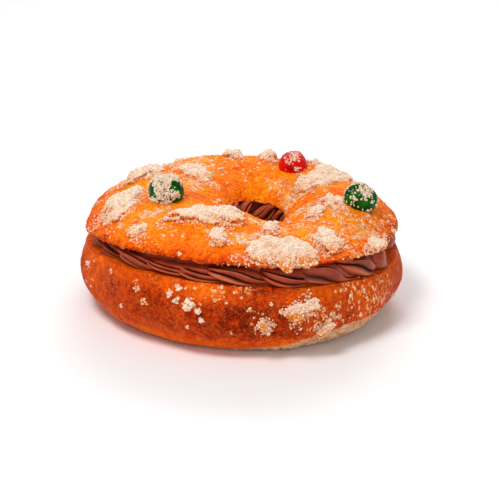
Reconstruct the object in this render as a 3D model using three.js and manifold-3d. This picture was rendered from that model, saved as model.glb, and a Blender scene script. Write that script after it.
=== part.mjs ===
// A roscon de reyes: a ring of sweet bread cut across into a base and a lid, with a piped
// chocolate cream between them, candied cherries and lumps of moist sugar on the crust.
// Units are millimetres. +Z is up, the ring's axis is Z, and Z = 0 is the face that it rests on.
// -Y is the front. An azimuth is in degrees, from +X towards +Y, so the front is at -90.
import * as THREE from "three";
import { mergeVertices } from "three/addons/utils/BufferGeometryUtils.js";
import Module from "manifold-3d";

const wasm = await Module();
wasm.setup();

// ---- Driving dimensions ----

const outerRadius = 100; // the ring's widest, on the base
const holeRadius = 17.5; // the hole's narrowest, on the base
const baseHeight = 44; // the table to the lower cut
const creamHeight = 11.5; // the lower cut to the upper cut
const lidHeight = 18.5; // the upper cut to the crest
const crestRadius = 60; // where the lid is highest
const gap = 0.35; // left between pieces that touch

const lidCut = baseHeight + creamHeight;
const crestHeight = lidCut + lidHeight;

// How far the hand-shaped ring departs from a true one.
const holeShift = { x: 9.5, y: 5 }; // the hole isn't quite in the middle
const holeStretch = 2.3; // and it is longer from front to back than from side to side
const holeTilt = 2.5; // the cuts fall to the right inside the hole
const outlineSwell = [
  { lobes: 2, amount: 1.0, turn: 0 },
  { lobes: 3, amount: 0.7, turn: 100 },
  { lobes: 5, amount: 0.6, turn: 35 },
];
const cutDroop = { side: 3, saddle: 2.3 }; // the cuts fall to the right and at both sides
const cutDips = [
  // and further in places, each cut by its own depth
  { azimuth: 180, spread: 32, base: 6.5, lid: 8 },
  { azimuth: -22, spread: 26, base: 3.5, lid: 0.5 },
];
const flares = [
  // the lid's left side slopes: its cut edge moves out or in, and so does its shoulder
  { azimuth: -163, spread: 22, edge: 3.2, shoulder: -3 },
  { azimuth: 168, spread: 34, edge: -1.2, shoulder: -7.5 },
];
const crustLumps = 0.55; // low swellings all over the crust
const foldReach = 80; // the creases run out at this radius
const folds = [
  // creases in the lid, radial
  { azimuth: 30, spread: 8, depth: 2.8 },
  { azimuth: 88, spread: 5, depth: 1.2 },
  { azimuth: 152, spread: 9, depth: 1.4 },
  { azimuth: -48, spread: 7, depth: 1.2 },
  { azimuth: -128, spread: 8, depth: 1.3 },
];
const sag = { azimuth: -60, spread: 36, depth: 7 }; // the lid lies lower here
const lip = { azimuth: -112, spread: 34, radius: 48, width: 9, height: 2.6 }; // a raised fold by the hole

const lidSegments = 57;
const baseSegments = 54;

// The piped cream: an outer and an inner rope of overlapping strokes, one slab through the bread.
const cream = {
  outer: { reach: 96.8, depth: 6.5, strokes: 24, groove: 3.4, ridge: 0.9, lean: 0.9 },
  inner: { reach: 17.6, depth: 5, strokes: 12, groove: 2, ridge: 0.5, lean: -0.6 },
  stepsPerStroke: 6,
  arcSteps: { outer: 7, inner: 3 },
  fullness: 2.6, // 2 gives a round rope, and more a fuller one
  // The outer rope is set back at the sides and squeezed out further at the front right.
  recesses: [
    { azimuth: -174, spread: 34, amount: 4.6 },
    { azimuth: 8, spread: 22, amount: 4 },
    { azimuth: -128, spread: 24, amount: 1.8 },
    { azimuth: -34, spread: 26, amount: -1.6 },
  ],
};

const cherryRadius = 10.5;
// at is [azimuth, station], where a station is 0 at a crust's first edge and 1 at its last.
// seat is how far a cherry's middle is above the crust, and tall its height, in shares of its radius.
const cherries = {
  cherry_green_left: { at: [-150, 0.55], turn: 25, size: 1.04, tall: 1, seat: 0.38, crease: 0.12 },
  cherry_green_right: { at: [-12, 0.475], turn: -60, size: 1.03, tall: 0.88, seat: 0.36, crease: 0.22 },
  cherry_red: { at: [61, 0.6], turn: 80, size: 0.97, tall: 0.8, seat: 0.12, crease: 0.06 },
};

// Heaps of moist sugar, each along its own path of [azimuth, station] over the crust.
// taper widens a heap towards its path's end.
const heapDepth = 2.5; // how far a heap reaches below the crust before it is cut to it
const heapLumps = 0.07; // how lumpy a heap is, as a share of its size
const lidHeaps = {
  sugar_front: {
    path: [[-88, 0.38], [-80, 0.31], [-72, 0.25], [-64, 0.19]],
    width: 28,
    height: 11,
    taper: 0.35,
    detail: 3,
  },
  sugar_ridge: {
    path: [[-131, 0.44], [-124, 0.495], [-115, 0.525], [-104, 0.54], [-92, 0.545]],
    width: 11,
    height: 5.5,
    taper: 0.35,
    detail: 3,
  },
  sugar_left: {
    path: [[180, 0.34], [190, 0.35], [199, 0.31], [206, 0.24]],
    width: 21,
    height: 6,
    taper: -0.35,
    detail: 3,
  },
  sugar_right: { path: [[-54, 0.49], [-52, 0.38], [-51, 0.26]], width: 13, height: 4.5 },
  sugar_slope: { path: [[-25, 0.64], [-17, 0.57]], width: 15, height: 5 },
  sugar_slope_low: { path: [[-39, 0.7], [-36, 0.6]], width: 12, height: 4, detail: 1 },
  sugar_far_right: { path: [[40, 0.83], [33, 0.68], [37, 0.4]], width: 11, height: 4, taper: 0.3 },
  sugar_back_left: { path: [[163, 0.38], [153, 0.4], [148, 0.5]], width: 17, height: 4 },
  sugar_back_slope: { path: [[150, 0.62], [143, 0.66], [136, 0.72]], width: 17, height: 3 },
  sugar_crest_left: { path: [[103, 0.5], [95, 0.51]], width: 12, height: 3.5 },
  sugar_crest_middle: { path: [[84, 0.47], [75, 0.48]], width: 12, height: 4.5 },
  sugar_crest_right: { path: [[58, 0.42], [49, 0.44]], width: 8, height: 4 },
  sugar_hole_front: { path: [[-82, 0.55], [-74, 0.57]], width: 8, height: 3.5, detail: 1 },
  sugar_small_front: { path: [[-103, 0.45], [-98, 0.32]], width: 8, height: 4 },
  sugar_small_left: { path: [[-136, 0.21], [-132, 0.32]], width: 11, height: 3.5 },
  sugar_small_right: { path: [[-33, 0.26], [-30, 0.1]], width: 16, height: 4 },
  sugar_back_outer: { path: [[122, 0.22], [110, 0.16], [98, 0.2]], width: 15, height: 4 },
};
const baseHeaps = {
  sugar_base_front: { path: [[-75, 0.62], [-70, 0.72], [-64, 0.84]], width: 10, height: 4 },
  sugar_base_low: { path: [[-63, 0.42], [-58, 0.54]], width: 7, height: 3.5 },
  sugar_base_middle: { path: [[-84, 0.58], [-79, 0.5]], width: 6, height: 3 },
  sugar_base_back: { path: [[100, 0.6], [107, 0.75]], width: 10, height: 4 },
};

// Crumbs of sugar, fused to the crust: some in a trail, and the rest scattered by a seeded draw.
const crumbSize = { least: 1.2, most: 1.9 };
const crumbTrail = [
  { azimuth: -111, station: 0.89, radius: 2.6 },
  { azimuth: -114, station: 0.81, radius: 2.4 },
  { azimuth: -111.5, station: 0.75, radius: 2.4 },
  { azimuth: -107, station: 0.72, radius: 3.4 },
  { azimuth: -103.5, station: 0.65, radius: 3.2 },
  { azimuth: -102.5, station: 0.57, radius: 2.2 },
];
const scatter = {
  lid: { count: 22, stations: [0.08, 0.88], seed: 5 },
  base: { count: 16, stations: [0.4, 0.93], seed: 8 },
};

// ---- Small tools ----

const radians = THREE.MathUtils.degToRad;
const smooth = THREE.MathUtils.smoothstep;
const bell = (x) => Math.exp(-x * x);
const sumOf = (items, amount) => items.reduce((sum, item) => sum + amount(item), 0);
// The difference between two azimuths in degrees, from -180 to 180.
const turnBetween = (a, b) => THREE.MathUtils.euclideanModulo(a - b + 180, 360) - 180;

// A seeded random number generator: each call gives the next number from 0 to 1.
function seeded(seed) {
  let state = seed;
  return () => {
    state = (state * 1664525 + 1013904223) % 4294967296;
    return state / 4294967296;
  };
}

function solidOf(geometry) {
  const bare = geometry.index ? geometry.toNonIndexed() : geometry.clone();
  bare.deleteAttribute("normal");
  bare.deleteAttribute("uv");
  const merged = mergeVertices(bare, 1e-4);
  return new wasm.Manifold(
    new wasm.Mesh({
      numProp: 3,
      vertProperties: new Float32Array(merged.attributes.position.array),
      triVerts: new Uint32Array(merged.index.array),
    }),
  );
}

function meshOf(name, solid, material) {
  const { vertProperties, triVerts, numProp, numVert } = solid.getMesh();
  const positions = new Float32Array(numVert * 3);
  for (let i = 0; i < numVert; i++) {
    positions.set(vertProperties.subarray(i * numProp, i * numProp + 3), i * 3);
  }
  const geometry = new THREE.BufferGeometry();
  geometry.setAttribute("position", new THREE.BufferAttribute(positions, 3));
  geometry.setIndex(new THREE.BufferAttribute(triVerts, 1));
  geometry.computeVertexNormals();
  const mesh = new THREE.Mesh(geometry, material);
  mesh.name = name;
  return mesh;
}

// ---- The ring's sections and its hand-shaped form ----

const section = (pairs) => new THREE.SplineCurve(pairs.map(([r, z]) => new THREE.Vector2(r, z)));

// The lid's crust, from the outer cut edge over the crest to the cut edge in the hole.
const lidCrust = section([
  [93.6, lidCut],
  [95.8, lidCut + 3],
  [92.2, lidCut + 7],
  [84.5, crestHeight - 7],
  [74.5, crestHeight - 2.8],
  [crestRadius, crestHeight],
  [46, crestHeight - 2.2],
  [34, crestHeight - 7.2],
  [25, crestHeight - 13],
  [20.4, lidCut],
]);

// The base's outer crust, from its foot up to the cut, and the wall of its hole from the cut down.
const baseCrust = section([
  [76, 0],
  [85, 2],
  [93.8, 9.5],
  [98.8, 19.5],
  [outerRadius, 29],
  [98.8, 37],
  [96.2, baseHeight],
]);
const baseHole = section([
  [20, baseHeight],
  [18, 37],
  [holeRadius, 28],
  [19.4, 16],
  [24, 6],
  [32, 0],
]);

// Moves a point of the true ring to where the hand-shaped one has it.
function shaped({ x, y, z }) {
  const angle = Math.atan2(y, x);
  const azimuth = THREE.MathUtils.radToDeg(angle);
  const radius = Math.hypot(x, y);
  const near = (place) => bell(turnBetween(azimuth, place.azimuth) / place.spread);
  const outward = smooth(radius, holeRadius, outerRadius);
  const inward = 1 - outward;
  const top = smooth(z, lidCut + 1, lidCut + 12); // from 0 at the upper cut to 1 on the lid's top

  // The underside stays flat: lumps fade in over the lowest centimetre.
  const waves = Math.sin(7 * angle + z / 9) + Math.cos(11 * angle - radius / 8);
  const lumps = crustLumps * waves * smooth(z, 0, 10);

  const lobes = sumOf(outlineSwell, (s) => s.amount * Math.cos(s.lobes * angle - radians(s.turn)));
  const edge = smooth(z, lidCut - 2, lidCut) * (1 - smooth(z, lidCut + 1, lidCut + 6));
  const shoulder = smooth(z, lidCut + 2, lidCut + 10);
  const swell =
    outward * (lobes + lumps * (1 - smooth(z, lidCut, crestHeight))) -
    inward * holeStretch * Math.cos(2 * angle) +
    outward * sumOf(flares, (flare) => near(flare) * (flare.edge * edge + flare.shoulder * shoulder));

  // The cuts' droop grows with height up to the cuts and fades towards the crest.
  const height = Math.min(1, z / baseHeight) * (1 - 0.5 * smooth(z, lidCut + 2, crestHeight));
  const upper = smooth(z, baseHeight, lidCut);
  const dips = sumOf(cutDips, (dip) => near(dip) * THREE.MathUtils.lerp(dip.base, dip.lid, upper));
  const droop = cutDroop.side * Math.cos(angle) + cutDroop.saddle * Math.cos(2 * angle) + dips;
  let lift = -height * (droop * (radius / outerRadius) ** 2 + holeTilt * inward * Math.cos(angle));

  // Creases, the low side and the raised fold belong to the lid's top.
  const inFold = THREE.MathUtils.clamp((radius - holeRadius) / (foldReach - holeRadius), 0, 1);
  const middle = Math.sin(Math.PI * inFold);
  const creases = sumOf(folds, (fold) => near(fold) * fold.depth);
  lift += top * (lumps * 0.8 - middle * creases - sag.depth * near(sag));
  lift += top * lip.height * near(lip) * bell((radius - lip.radius) / lip.width);

  const r = radius + swell;
  return new THREE.Vector3(
    r * Math.cos(angle) + inward * holeShift.x,
    r * Math.sin(angle) + inward * holeShift.y,
    z + lift,
  );
}

const around = (radius, azimuth, z) =>
  new THREE.Vector3(radius * Math.cos(radians(azimuth)), radius * Math.sin(radians(azimuth)), z);

// A closed section [r, z] turned about Z, then shaped. profileAt may depend on the azimuth.
function ring(profileAt, segments) {
  const steps = profileAt(0).length;
  const positions = [];
  const index = [];
  for (let s = 0; s < segments; s++) {
    const azimuth = (360 * s) / segments;
    for (const [r, z] of profileAt(azimuth)) positions.push(...shaped(around(r, azimuth, z)).toArray());
  }
  for (let s = 0; s < segments; s++) {
    const next = (s + 1) % segments;
    for (let i = 0; i < steps; i++) {
      const j = (i + 1) % steps;
      const [a, b, c, d] = [s * steps + i, next * steps + i, next * steps + j, s * steps + j];
      index.push(a, b, c, a, c, d);
    }
  }
  const geometry = new THREE.BufferGeometry();
  geometry.setAttribute("position", new THREE.Float32BufferAttribute(positions, 3));
  geometry.setIndex(index);
  return solidOf(geometry);
}

// Points along a section curve, each moved out along the curve's normal by grow.
function along(curve, steps, grow = 0) {
  return Array.from({ length: steps + 1 }, (_, i) => {
    const p = curve.getPoint(i / steps);
    const t = curve.getTangent(i / steps);
    return [p.x + t.y * grow, p.y - t.x * grow];
  });
}

function lidSolid(grow = 0) {
  const profile = along(lidCrust, 17, grow);
  profile[0][1] -= grow;
  profile.at(-1)[1] -= grow;
  return ring(() => profile, lidSegments);
}

function baseSolid(grow = 0) {
  const outer = along(baseCrust, 8, grow);
  const inner = along(baseHole, 4, grow);
  outer[0][1] -= grow;
  inner.at(-1)[1] -= grow;
  return ring(() => [...outer, ...inner], baseSegments);
}

// ---- The cream ----

// How far a rope's surface lies inside its reach, at height share h from 0 (bottom) to 1 (top).
function strokeRelief(rope, h, azimuth) {
  const phase = THREE.MathUtils.euclideanModulo((azimuth / 360) * rope.strokes + h * rope.lean, 1);
  const swelling = Math.sin(Math.PI * phase ** 0.8);
  return rope.groove * (1 - swelling) + rope.ridge * (1 - Math.cos(4 * Math.PI * phase)) * swelling;
}

function creamProfile(azimuth, grow = 0) {
  const bottom = baseHeight + gap - grow;
  const top = lidCut - gap + grow;
  const setBack = sumOf(cream.recesses, (r) => r.amount * bell(turnBetween(azimuth, r.azimuth) / r.spread));
  const points = [];
  for (const side of ["outer", "inner"]) {
    const rope = cream[side];
    const steps = cream.arcSteps[side];
    const out = side === "outer" ? 1 : -1;
    const reach = rope.reach - (side === "outer" ? setBack : 0);
    for (let i = 0; i <= steps; i++) {
      const h = out > 0 ? i / steps : 1 - i / steps;
      const bulge = (1 - Math.abs(2 * h - 1) ** cream.fullness) ** (1 / cream.fullness);
      const relief = strokeRelief(rope, h, azimuth) * bulge;
      points.push([reach - out * (rope.depth * (1 - bulge) + relief - grow), bottom + h * (top - bottom)]);
    }
  }
  return points;
}

// ---- What lies on the crust ----

// A point on the lid's or the base's crust, lifted along the crust's normal.
function onCrust(crust, azimuth, station, lift = 0) {
  const t = THREE.MathUtils.clamp(station, 0, 1);
  const p = crust.getPoint(t);
  const n = crust.getTangent(t);
  return shaped(around(p.x + n.y * lift, azimuth, p.y - n.x * lift));
}

// A lumpy heap of sugar that follows its path over the crust and sinks a little into it.
function heap(crust, { path, width, height, taper = 0, detail = 2 }, seed) {
  const random = seeded(seed);
  const waves = Array.from({ length: 5 }, () => ({
    axis: new THREE.Vector3(random() - 0.5, random() - 0.5, random() - 0.5).normalize(),
    count: 4 + 6 * random(),
    start: 6 * random(),
  }));
  const route = new THREE.SplineCurve(path.map(([azimuth, station]) => new THREE.Vector2(azimuth, station)));
  const perDegree = radians(crust.getPoint(path[0][1]).x); // millimetres along the ring
  const perStation = crust.getLength(); // millimetres across it

  const geometry = new THREE.IcosahedronGeometry(1, detail);
  const position = geometry.attributes.position;
  const at = new THREE.Vector3();
  for (let i = 0; i < position.count; i++) {
    at.fromBufferAttribute(position, i);
    const lumps = sumOf(waves, (wave) => Math.sin(wave.count * at.dot(wave.axis) + wave.start));
    const lumpy = 1 + heapLumps * lumps;
    const full = lumpy * Math.sqrt(1 + at.x ** 2) * (1 + taper * at.x); // blunt ends
    const t = THREE.MathUtils.clamp((1 + at.x * lumpy * 0.9) / 2, 0, 1);
    const centre = route.getPoint(t);
    const ahead = route.getTangent(t);
    const [u, v] = [ahead.x * perDegree, ahead.y * perStation];
    const aside = (at.y * full * width) / 2 / Math.hypot(u, v);
    const lift = at.z > 0 ? at.z * full * height : at.z * heapDepth;
    const p = onCrust(crust, centre.x - (v * aside) / perDegree, centre.y + (u * aside) / perStation, lift);
    position.setXYZ(i, p.x, p.y, p.z);
  }
  return solidOf(geometry);
}

// A candied cherry pressed on the crust, with the crease where its stone came out.
function cherry({ at: place, turn, size, tall, seat, crease }, grow = 0) {
  const geometry = new THREE.IcosahedronGeometry(1, 3);
  const position = geometry.attributes.position;
  const at = new THREE.Vector3();
  for (let i = 0; i < position.count; i++) {
    at.fromBufferAttribute(position, i);
    const dent = 1 - crease * bell(at.x / 0.3) * smooth(at.z, -0.2, 0.8);
    at.multiplyScalar(cherryRadius * size * dent + grow);
    position.setXYZ(i, at.x, at.y * 0.95, at.z * tall);
  }
  const foot = onCrust(lidCrust, ...place);
  const head = onCrust(lidCrust, ...place, 1).sub(foot).normalize();
  const centre = foot.addScaledVector(head, cherryRadius * size * seat);
  geometry.rotateZ(radians(turn));
  geometry.applyQuaternion(new THREE.Quaternion().setFromUnitVectors(new THREE.Vector3(0, 0, 1), head));
  geometry.translate(centre.x, centre.y, centre.z);
  return solidOf(geometry);
}

// A crumb set half into the crust, turned and sized by the draw.
function crumb(crust, { azimuth, station, radius }, random, grow = 0) {
  const geometry = new THREE.IcosahedronGeometry(radius + grow, 0);
  geometry.scale(1, 0.8 + 0.4 * random(), 0.8);
  geometry.rotateX(3 * random());
  geometry.rotateZ(3 * random());
  const at = onCrust(crust, azimuth, station, radius * 0.3);
  geometry.translate(at.x, at.y, at.z);
  return solidOf(geometry);
}

const material = (color, roughness) => new THREE.MeshStandardMaterial({ color, roughness, metalness: 0 });
const finish = {
  lid: material("#d9822b", 0.55),
  base: material("#b5622a", 0.6),
  cream: material("#6b3a28", 0.5),
  green: material("#1f6b1c", 0.2),
  red: material("#b8141a", 0.2),
  sugar: material("#f1ebe2", 0.8),
};

// A heap or cherry cut to the crust, without the scraps that a crease may leave.
function cutTo(solid, ...rooms) {
  const cut = rooms.reduce((rest, room) => rest.subtract(room), solid);
  return cut.decompose().reduce((largest, body) => (body.volume() > largest.volume() ? body : largest));
}

// The crust with crumbs fused to it, wherever they are clear of the pieces that lie on it.
function crumbed(bread, crust, { count, stations, seed }, trail, pieces) {
  const random = seeded(seed);
  const scattered = Array.from({ length: count }, (_, i) => ({
    azimuth: (360 * (i + random())) / count,
    station: THREE.MathUtils.lerp(...stations, random()),
    radius: THREE.MathUtils.lerp(crumbSize.least, crumbSize.most, random()),
  }));
  return [...trail, ...scattered].reduce((solid, place, i) => {
    const grown = crumb(crust, place, seeded(seed + i), gap);
    const clear = pieces.every((piece) => grown.intersect(piece).isEmpty());
    return clear ? solid.add(crumb(crust, place, seeded(seed + i))) : solid;
  }, bread);
}

const named = (table, make) => Object.entries(table).map(([name, place], i) => [name, make(place, i)]);

const lidRoom = lidSolid(gap);
const baseRoom = baseSolid(gap);
const creamSteps = cream.outer.strokes * cream.stepsPerStroke;
const creamSolid = ring((azimuth) => creamProfile(azimuth), creamSteps);
const creamRoom = ring((azimuth) => creamProfile(azimuth, gap), creamSteps);
const cherryRooms = Object.values(cherries).map((place) => cherry(place, gap));
const cherrySolids = named(cherries, (place) => cutTo(cherry(place), lidRoom));
const lidRooms = [lidRoom, creamRoom, ...cherryRooms];
const lidSugar = named(lidHeaps, (place, i) => cutTo(heap(lidCrust, place, i + 1), ...lidRooms));
const baseSugar = named(baseHeaps, (place, i) => cutTo(heap(baseCrust, place, i + 31), baseRoom));
const onLid = [...cherrySolids, ...lidSugar].map(([, solid]) => solid).concat(creamSolid);
const onBase = baseSugar.map(([, solid]) => solid).concat(creamSolid);

const base = crumbed(baseSolid(), baseCrust, scatter.base, crumbTrail, onBase);
const lid = crumbed(lidSolid(), lidCrust, scatter.lid, [], onLid);

const roscon = new THREE.Group();
roscon.add(meshOf("bread_base", base, finish.base));
roscon.add(meshOf("bread_lid", lid, finish.lid));
roscon.add(meshOf("chocolate_cream", creamSolid, finish.cream));
for (const [name, solid] of cherrySolids) {
  roscon.add(meshOf(name, solid, name.includes("green") ? finish.green : finish.red));
}
for (const [name, solid] of [...lidSugar, ...baseSugar]) roscon.add(meshOf(name, solid, finish.sugar));

export default roscon;
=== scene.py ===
"""A filled roscon de reyes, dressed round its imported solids, in metres.

The ring's axis is Z and it rests on Z = 0. The front is -Y. An azimuth is in degrees from +X
towards +Y, so the front is at -90. A station runs from 0 to 1 along a crust's section.
"""

import math

import bpy
import numpy as np
from mathutils import Euler, Matrix, Vector, noise


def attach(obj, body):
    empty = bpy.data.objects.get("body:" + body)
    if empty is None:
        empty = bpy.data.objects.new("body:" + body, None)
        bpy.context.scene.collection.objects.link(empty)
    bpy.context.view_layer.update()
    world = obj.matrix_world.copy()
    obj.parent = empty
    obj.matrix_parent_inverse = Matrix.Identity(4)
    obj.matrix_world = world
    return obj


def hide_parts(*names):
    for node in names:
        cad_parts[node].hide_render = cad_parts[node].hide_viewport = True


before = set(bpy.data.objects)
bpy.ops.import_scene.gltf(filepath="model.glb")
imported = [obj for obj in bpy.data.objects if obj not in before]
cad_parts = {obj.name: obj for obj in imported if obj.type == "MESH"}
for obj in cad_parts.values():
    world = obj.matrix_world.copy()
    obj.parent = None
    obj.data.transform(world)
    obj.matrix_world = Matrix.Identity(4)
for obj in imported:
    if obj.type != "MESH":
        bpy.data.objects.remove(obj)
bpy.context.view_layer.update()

MM = 0.001

# ---- The ring's form, as its solids have it ----

OUTER_RADIUS = 100 * MM
HOLE_RADIUS = 17.5 * MM
BASE_HEIGHT = 44 * MM
CREAM_HEIGHT = 11.5 * MM
LID_HEIGHT = 18.5 * MM
CREST_RADIUS = 60 * MM
LID_CUT = BASE_HEIGHT + CREAM_HEIGHT
CREST = LID_CUT + LID_HEIGHT

HOLE_SHIFT = (9.5 * MM, 5 * MM)
HOLE_STRETCH = 2.3 * MM
HOLE_TILT = 2.5 * MM
LOBES = [(2, 1.0 * MM, 0), (3, 0.7 * MM, 100), (5, 0.6 * MM, 35)]  # count, amount, turn
DROOP_SIDE = 3 * MM
DROOP_SADDLE = 2.3 * MM
CUT_DIPS = [(180, 32, 6.5 * MM, 8 * MM), (-22, 26, 3.5 * MM, 0.5 * MM)]  # azimuth, spread, base, lid
FLARES = [(-163, 22, 3.2 * MM, -3 * MM), (168, 34, -1.2 * MM, -7.5 * MM)]  # azimuth, spread, edge, shoulder
LUMPS = 0.55 * MM
LUMP_COUNTS = (7, 11)  # round the ring
LUMP_REACH = (9 * MM, 8 * MM)  # upwards and outwards
FOLD_REACH = 80 * MM
FOLDS = [(30, 8, 2.8 * MM), (88, 5, 1.2 * MM), (152, 9, 1.4 * MM), (-48, 7, 1.2 * MM), (-128, 8, 1.3 * MM)]
SAG = (-60, 36, 7 * MM)  # azimuth, spread, depth, as each fold has
LIP = {"azimuth": -112, "spread": 34, "radius": 48 * MM, "width": 9 * MM, "height": 2.6 * MM}


def smooth(x, low, high):
    t = np.clip((x - low) / (high - low), 0, 1)
    return t * t * (3 - 2 * t)


def bell(x):
    return np.exp(-x * x)


def near(azimuth, middle, spread):
    """1 at the middle azimuth, and less to either side of it."""
    return bell(((azimuth - middle + 180) % 360 - 180) / spread)


class Section:
    """A smooth curve through its points, from station 0 at the first to station 1 at the last."""

    def __init__(self, points):
        self.points = np.array(points, float)
        fine = self.at(np.linspace(0, 1, 400))
        self.length = np.linalg.norm(np.diff(fine, axis=0), axis=1).sum()

    def at(self, station):
        last = len(self.points) - 1
        t = np.clip(np.atleast_1d(station), 0, 1) * last
        i = np.minimum(np.floor(t).astype(int), last - 1)
        w = (t - i)[:, None]
        before, here, after, beyond = (self.points[np.clip(i + k, 0, last)] for k in (-1, 0, 1, 2))
        pull_here = (after - before) / 2
        pull_after = (beyond - here) / 2
        cubic = (2 * here - 2 * after + pull_here + pull_after) * w**3
        square = (-3 * here + 3 * after - 2 * pull_here - pull_after) * w**2
        return cubic + square + pull_here * w + here

    def heading(self, station, step=1e-4):
        """How far the curve goes from a step before each station to a step after it."""
        return self.at(np.clip(station + step, 0, 1)) - self.at(np.clip(station - step, 0, 1))

    def normal(self, station):
        along = self.heading(np.atleast_1d(station))
        along /= np.linalg.norm(along, axis=1, keepdims=True)
        return np.stack([along[:, 1], -along[:, 0]], 1)


LID_CRUST = Section([
    (93.6 * MM, LID_CUT),
    (95.8 * MM, LID_CUT + 3 * MM),
    (92.2 * MM, LID_CUT + 7 * MM),
    (84.5 * MM, CREST - 7 * MM),
    (74.5 * MM, CREST - 2.8 * MM),
    (CREST_RADIUS, CREST),
    (46 * MM, CREST - 2.2 * MM),
    (34 * MM, CREST - 7.2 * MM),
    (25 * MM, CREST - 13 * MM),
    (20.4 * MM, LID_CUT),
])
BASE_CRUST = Section([
    (76 * MM, 0),
    (85 * MM, 2 * MM),
    (93.8 * MM, 9.5 * MM),
    (98.8 * MM, 19.5 * MM),
    (OUTER_RADIUS, 29 * MM),
    (98.8 * MM, 37 * MM),
    (96.2 * MM, BASE_HEIGHT),
])
BASE_HOLE = Section([
    (20 * MM, BASE_HEIGHT),
    (18 * MM, 37 * MM),
    (HOLE_RADIUS, 28 * MM),
    (19.4 * MM, 16 * MM),
    (24 * MM, 6 * MM),
    (32 * MM, 0),
])


def hand_shaped(points):
    """Moves points of the true ring to where the hand-shaped one has them."""
    x, y, z = points.T
    angle = np.arctan2(y, x)
    azimuth = np.degrees(angle)
    radius = np.hypot(x, y)

    outward = smooth(radius, HOLE_RADIUS, OUTER_RADIUS)
    inward = 1 - outward
    top = smooth(z, LID_CUT + 1 * MM, LID_CUT + 12 * MM)
    waves = np.sin(LUMP_COUNTS[0] * angle + z / LUMP_REACH[0])
    waves += np.cos(LUMP_COUNTS[1] * angle - radius / LUMP_REACH[1])
    lumps = LUMPS * waves * smooth(z, 0, 10 * MM)

    lobes = sum(amount * np.cos(count * angle - math.radians(turn)) for count, amount, turn in LOBES)
    edge = smooth(z, LID_CUT - 2 * MM, LID_CUT) * (1 - smooth(z, LID_CUT + 1 * MM, LID_CUT + 6 * MM))
    shoulder = smooth(z, LID_CUT + 2 * MM, LID_CUT + 10 * MM)
    flare = sum(near(azimuth, at, wide) * (out * edge + over * shoulder) for at, wide, out, over in FLARES)
    swell = outward * (lobes + flare + lumps * (1 - smooth(z, LID_CUT, CREST)))
    swell -= inward * HOLE_STRETCH * np.cos(2 * angle)

    height = np.minimum(1, z / BASE_HEIGHT) * (1 - 0.5 * smooth(z, LID_CUT + 2 * MM, CREST))
    upper = smooth(z, BASE_HEIGHT, LID_CUT)
    dips = sum(near(azimuth, at, wide) * (base + (lid - base) * upper) for at, wide, base, lid in CUT_DIPS)
    droop = DROOP_SIDE * np.cos(angle) + DROOP_SADDLE * np.cos(2 * angle) + dips
    lift = -height * (droop * (radius / OUTER_RADIUS) ** 2 + HOLE_TILT * inward * np.cos(angle))

    inside = np.sin(math.pi * np.clip((radius - HOLE_RADIUS) / (FOLD_REACH - HOLE_RADIUS), 0, 1))
    creases = sum(near(azimuth, at, wide) * depth for at, wide, depth in FOLDS)
    lift += top * (lumps * 0.8 - inside * creases - SAG[2] * near(azimuth, SAG[0], SAG[1]))
    fold = near(azimuth, LIP["azimuth"], LIP["spread"]) * bell((radius - LIP["radius"]) / LIP["width"])
    lift += top * LIP["height"] * fold

    r = radius + swell
    return np.stack([
        r * np.cos(angle) + inward * HOLE_SHIFT[0],
        r * np.sin(angle) + inward * HOLE_SHIFT[1],
        z + lift,
    ], 1)


def on_crust(crust_line, azimuth, station, lift=0.0):
    """Points over a crust, lifted along its section's normal."""
    station = np.clip(np.atleast_1d(station), 0, 1)
    radius, height = (crust_line.at(station) + crust_line.normal(station) * np.reshape(lift, (-1, 1))).T
    angle = np.radians(azimuth)
    return hand_shaped(np.stack([radius * np.cos(angle), radius * np.sin(angle), height], 1))


# ---- Modelling by hand ----

WEIGHT_LEVELS = 6  # the steps that a part-way push is given in


def start(add, name, **options):
    """Adds a primitive at its size and place, alone in the selection."""
    if bpy.context.object and bpy.context.object.mode != "OBJECT":
        bpy.ops.object.mode_set(mode="OBJECT")
    bpy.ops.object.select_all(action="DESELECT")
    add(**options)
    bpy.ops.object.transform_apply(location=True, rotation=True, scale=True)
    piece = bpy.context.object
    piece.name = piece.data.name = name
    return piece


def vertices_of(piece, what="co"):
    """The place of each vertex, or its normal."""
    flat = np.zeros(len(piece.data.vertices) * 3)
    piece.data.vertices.foreach_get(what, flat)
    return flat.reshape(-1, 3)


def azimuth_of(points):
    return np.degrees(np.arctan2(points[:, 1], points[:, 0]))


def move_vertices(piece, points):
    piece.data.vertices.foreach_set("co", np.ascontiguousarray(points, dtype=np.float32).ravel())
    piece.data.update()


def modify(piece, kind, **settings):
    modifier = piece.modifiers.new(kind.title(), kind)
    for key, value in settings.items():
        setattr(modifier, key, value)
    bpy.context.view_layer.objects.active = piece
    bpy.ops.object.modifier_apply(modifier=modifier.name)


def roughen(piece, name, scale, strength, depth=1, where=None):
    """Pushes the surface in and out by clouds of one size, all over or by how much where says."""
    texture = bpy.data.textures.new(name, "CLOUDS")
    texture.noise_scale = scale
    texture.noise_depth = depth
    if where is not None:
        group = piece.vertex_groups.new(name=name)
        levels = np.round(np.clip(where, 0, 1) * WEIGHT_LEVELS).astype(int)
        for level in range(1, WEIGHT_LEVELS + 1):
            group.add(np.flatnonzero(levels == level).tolist(), level / WEIGHT_LEVELS, "REPLACE")
    modify(piece, "DISPLACE", texture=texture, texture_coords="GLOBAL", strength=strength, mid_level=0.5,
           vertex_group=name if where is not None else "")
    piece.vertex_groups.clear()


def edit(piece):
    bpy.context.view_layer.objects.active = piece
    bpy.ops.object.mode_set(mode="EDIT")
    bpy.ops.mesh.select_all(action="SELECT")


def leave_edit():
    bpy.ops.object.mode_set(mode="OBJECT")


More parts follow.
